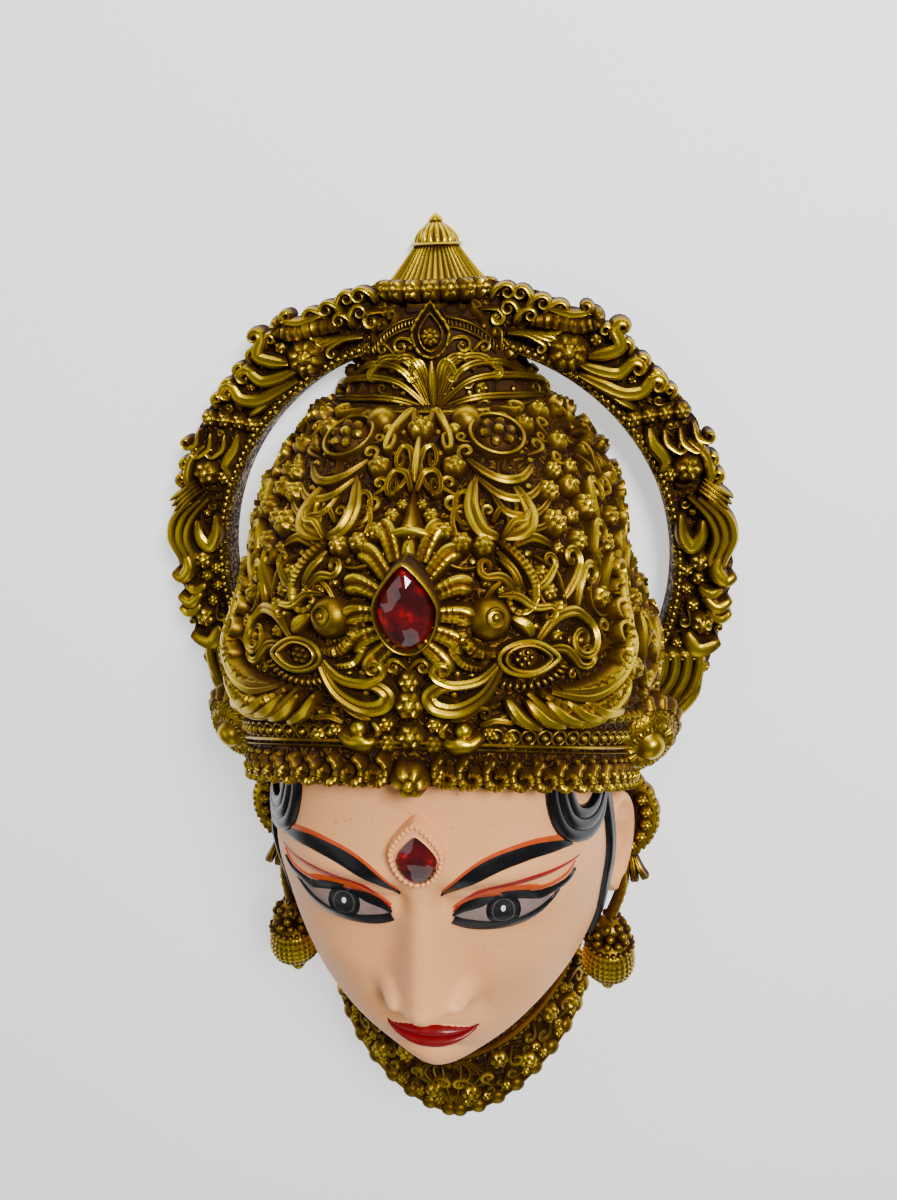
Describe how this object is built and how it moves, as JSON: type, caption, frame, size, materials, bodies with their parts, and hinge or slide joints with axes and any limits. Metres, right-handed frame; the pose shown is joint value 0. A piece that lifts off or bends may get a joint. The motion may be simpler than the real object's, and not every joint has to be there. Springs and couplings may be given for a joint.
{
  "type": "face wall mask",
  "caption": "Hollow crowned face mask with a carved two-tier crown, a carved arch with a spire behind it, ear ornaments, a collar and two red stones.",
  "frame": {"origin": "centre of the bounding box's underside, on the mask's flat back", "axes": "+X the viewer's right, +Y up the mask to the spire, +Z out of the face"},
  "size_m": [0.2794, 0.4703, 0.1457],
  "materials": {
    "skin": "satin painted skin over a light casting",
    "gold": "antique gold metallic paint with a dark wash in the recesses",
    "red_stone": "polished clear red, cut in facets"
  },
  "bodies": {
    "root": {"head": "skin", "crown": "gold", "arch": "gold", "collar": "gold", "ear_ornament_right": "gold", "ear_ornament_left": "gold", "crown_stone": "red_stone", "brow_stone": "red_stone"}
  },
  "joints": []
}
